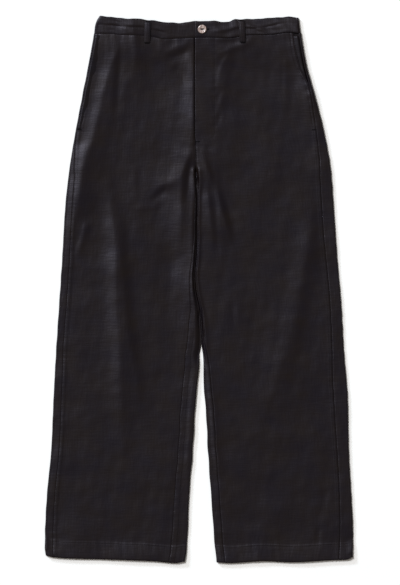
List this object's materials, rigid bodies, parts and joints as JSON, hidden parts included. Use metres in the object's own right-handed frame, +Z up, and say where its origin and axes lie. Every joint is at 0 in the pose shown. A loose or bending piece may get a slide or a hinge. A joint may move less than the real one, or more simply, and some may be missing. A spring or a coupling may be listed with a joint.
{
  "type": "wide-leg trousers laid flat",
  "caption": "Wide-leg black trousers laid flat, face up, with waistband, belt loops, button, lapped fly, side pockets and turned-up hems.",
  "frame": {"origin": "middle of the garment's outline, on the surface that it lies on", "axes": "+Y from the hems to the waist, +Z up out of the surface, +X to the wearer's left"},
  "size_m": [0.6015, 1.0665, 0.0111],
  "materials": {
    "cloth": "black fine woven cloth with a soft sheen",
    "inner_cloth": "black plain cloth, matte",
    "button": "polished pale shell-like resin"
  },
  "bodies": {
    "root": {"back_right": "cloth", "front_right": "cloth", "waistband_right": "cloth", "pocket_facing_right": "inner_cloth", "back_left": "cloth", "front_left": "cloth", "waistband_left": "cloth", "pocket_facing_left": "inner_cloth", "fly_shield": "inner_cloth", "button": "button", "belt_loop_front_right": "cloth", "belt_loop_front_left": "cloth", "belt_loop_back_right": "cloth", "belt_loop_back_centre": "cloth", "belt_loop_back_left": "cloth"}
  },
  "joints": []
}
